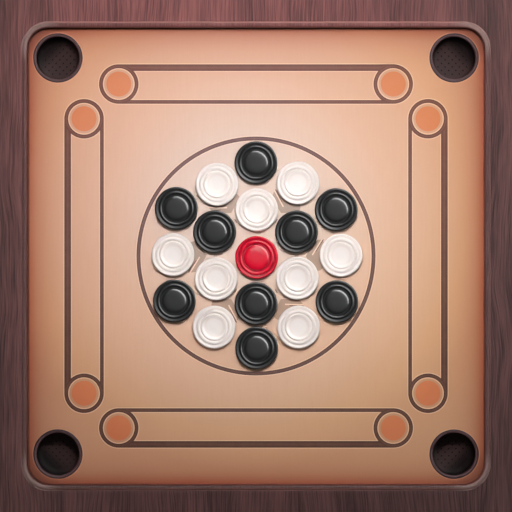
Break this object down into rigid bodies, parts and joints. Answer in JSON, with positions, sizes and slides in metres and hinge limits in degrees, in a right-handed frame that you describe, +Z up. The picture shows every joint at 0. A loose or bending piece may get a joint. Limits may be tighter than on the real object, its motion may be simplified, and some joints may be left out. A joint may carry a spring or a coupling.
{
  "type": "carrom board",
  "caption": "Small square carrom board with a raised wooden frame, a pocket in each corner and its loose men set up in the centre circle.",
  "frame": {"origin": "below the middle of the board, at the level of the table that its feet stand on", "axes": "+Z up out of the playing surface, +X to the right rail, +Y to the back rail"},
  "size_m": [0.38, 0.38, 0.0458],
  "materials": {
    "frame_wood": "dark brown satin lacquer over a wood grain",
    "bead_wood": "dark brown satin lacquer over a wood grain",
    "panel_lacquer": "smooth satin lacquer, peach, redder near the frame",
    "batten_wood": "planed, unfinished",
    "key_wood": "planed, flush",
    "rim_plastic": "dark purple-brown, satin gloss",
    "cup_plastic": "black, fine texture",
    "plate_steel": "zinc plated",
    "screw_steel": "zinc plated",
    "foot_rubber": "black, matt",
    "man_black": "black, polished",
    "man_white": "ivory white, polished",
    "man_red": "crimson, polished",
    "print_brown": "screen print, dark brown",
    "print_pale": "screen print, pale peach",
    "print_red": "screen print, orange red",
    "print_grey": "screen print, grey brown"
  },
  "bodies": {
    "board": {"playing_panel": "panel_lacquer", "batten_front": "batten_wood", "batten_back": "batten_wood", "frame_rail_front": "frame_wood", "bead_front": "bead_wood", "frame_rail_right": "frame_wood", "bead_right": "bead_wood", "frame_rail_back": "frame_wood", "bead_back": "bead_wood", "frame_rail_left": "frame_wood", "bead_left": "bead_wood", "mitre_key_back_right": "key_wood", "corner_bead_back_right": "bead_wood", "pocket_rim_back_right": "rim_plastic", "pocket_cup_back_right": "cup_plastic", "corner_plate_back_right": "plate_steel", "foot_back_right": "foot_rubber", "mitre_key_back_left": "key_wood", "corner_bead_back_left": "bead_wood", "pocket_rim_back_left": "rim_plastic", "pocket_cup_back_left": "cup_plastic", "corner_plate_back_left": "plate_steel", "foot_back_left": "foot_rubber", "mitre_key_front_left": "key_wood", "corner_bead_front_left": "bead_wood", "pocket_rim_front_left": "rim_plastic", "pocket_cup_front_left": "cup_plastic", "corner_plate_front_left": "plate_steel", "foot_front_left": "foot_rubber", "mitre_key_front_right": "key_wood", "corner_bead_front_right": "bead_wood", "pocket_rim_front_right": "rim_plastic", "pocket_cup_front_right": "cup_plastic", "corner_plate_front_right": "plate_steel", "foot_front_right": "foot_rubber", "corner_plate_screws": "screw_steel", "foot_screws": "screw_steel", "batten_screws": "screw_steel", "pocket_cup_screws": "screw_steel"},
    "black_man_1": {"black_man_1": "man_black"},
    "black_man_2": {"black_man_2": "man_black"},
    "black_man_3": {"black_man_3": "man_black"},
    "black_man_4": {"black_man_4": "man_black"},
    "black_man_5": {"black_man_5": "man_black"},
    "black_man_6": {"black_man_6": "man_black"},
    "black_man_7": {"black_man_7": "man_black"},
    "black_man_8": {"black_man_8": "man_black"},
    "black_man_9": {"black_man_9": "man_black"},
    "white_man_1": {"white_man_1": "man_white"},
    "white_man_2": {"white_man_2": "man_white"},
    "white_man_3": {"white_man_3": "man_white"},
    "white_man_4": {"white_man_4": "man_white"},
    "white_man_5": {"white_man_5": "man_white"},
    "white_man_6": {"white_man_6": "man_white"},
    "white_man_7": {"white_man_7": "man_white"},
    "white_man_8": {"white_man_8": "man_white"},
    "white_man_9": {"white_man_9": "man_white"},
    "queen": {"queen": "man_red"}
  },
  "joints": [
    {"name": "black_man_1_lift", "type": "slide", "parent": "board", "child": "black_man_1", "axis": [0, 0, 1], "range_m": [0, 0.04]},
    {"name": "black_man_2_lift", "type": "slide", "parent": "board", "child": "black_man_2", "axis": [0, 0, 1], "range_m": [0, 0.04]},
    {"name": "black_man_3_lift", "type": "slide", "parent": "board", "child": "black_man_3", "axis": [0, 0, 1], "range_m": [0, 0.04]},
    {"name": "black_man_4_lift", "type": "slide", "parent": "board", "child": "black_man_4", "axis": [0, 0, 1], "range_m": [0, 0.04]},
    {"name": "black_man_5_lift", "type": "slide", "parent": "board", "child": "black_man_5", "axis": [0, 0, 1], "range_m": [0, 0.04]},
    {"name": "black_man_6_lift", "type": "slide", "parent": "board", "child": "black_man_6", "axis": [0, 0, 1], "range_m": [0, 0.04]},
    {"name": "black_man_7_lift", "type": "slide", "parent": "board", "child": "black_man_7", "axis": [0, 0, 1], "range_m": [0, 0.04]},
    {"name": "black_man_8_lift", "type": "slide", "parent": "board", "child": "black_man_8", "axis": [0, 0, 1], "range_m": [0, 0.04]},
    {"name": "black_man_9_lift", "type": "slide", "parent": "board", "child": "black_man_9", "axis": [0, 0, 1], "range_m": [0, 0.04]},
    {"name": "white_man_1_lift", "type": "slide", "parent": "board", "child": "white_man_1", "axis": [0, 0, 1], "range_m": [0, 0.04]},
    {"name": "white_man_2_lift", "type": "slide", "parent": "board", "child": "white_man_2", "axis": [0, 0, 1], "range_m": [0, 0.04]},
    {"name": "white_man_3_lift", "type": "slide", "parent": "board", "child": "white_man_3", "axis": [0, 0, 1], "range_m": [0, 0.04]},
    {"name": "white_man_4_lift", "type": "slide", "parent": "board", "child": "white_man_4", "axis": [0, 0, 1], "range_m": [0, 0.04]},
    {"name": "white_man_5_lift", "type": "slide", "parent": "board", "child": "white_man_5", "axis": [0, 0, 1], "range_m": [0, 0.04]},
    {"name": "white_man_6_lift", "type": "slide", "parent": "board", "child": "white_man_6", "axis": [0, 0, 1], "range_m": [0, 0.04]},
    {"name": "white_man_7_lift", "type": "slide", "parent": "board", "child": "white_man_7", "axis": [0, 0, 1], "range_m": [0, 0.04]},
    {"name": "white_man_8_lift", "type": "slide", "parent": "board", "child": "white_man_8", "axis": [0, 0, 1], "range_m": [0, 0.04]},
    {"name": "white_man_9_lift", "type": "slide", "parent": "board", "child": "white_man_9", "axis": [0, 0, 1], "range_m": [0, 0.04]},
    {"name": "queen_lift", "type": "slide", "parent": "board", "child": "queen", "axis": [0, 0, 1], "range_m": [0, 0.04]}
  ]
}
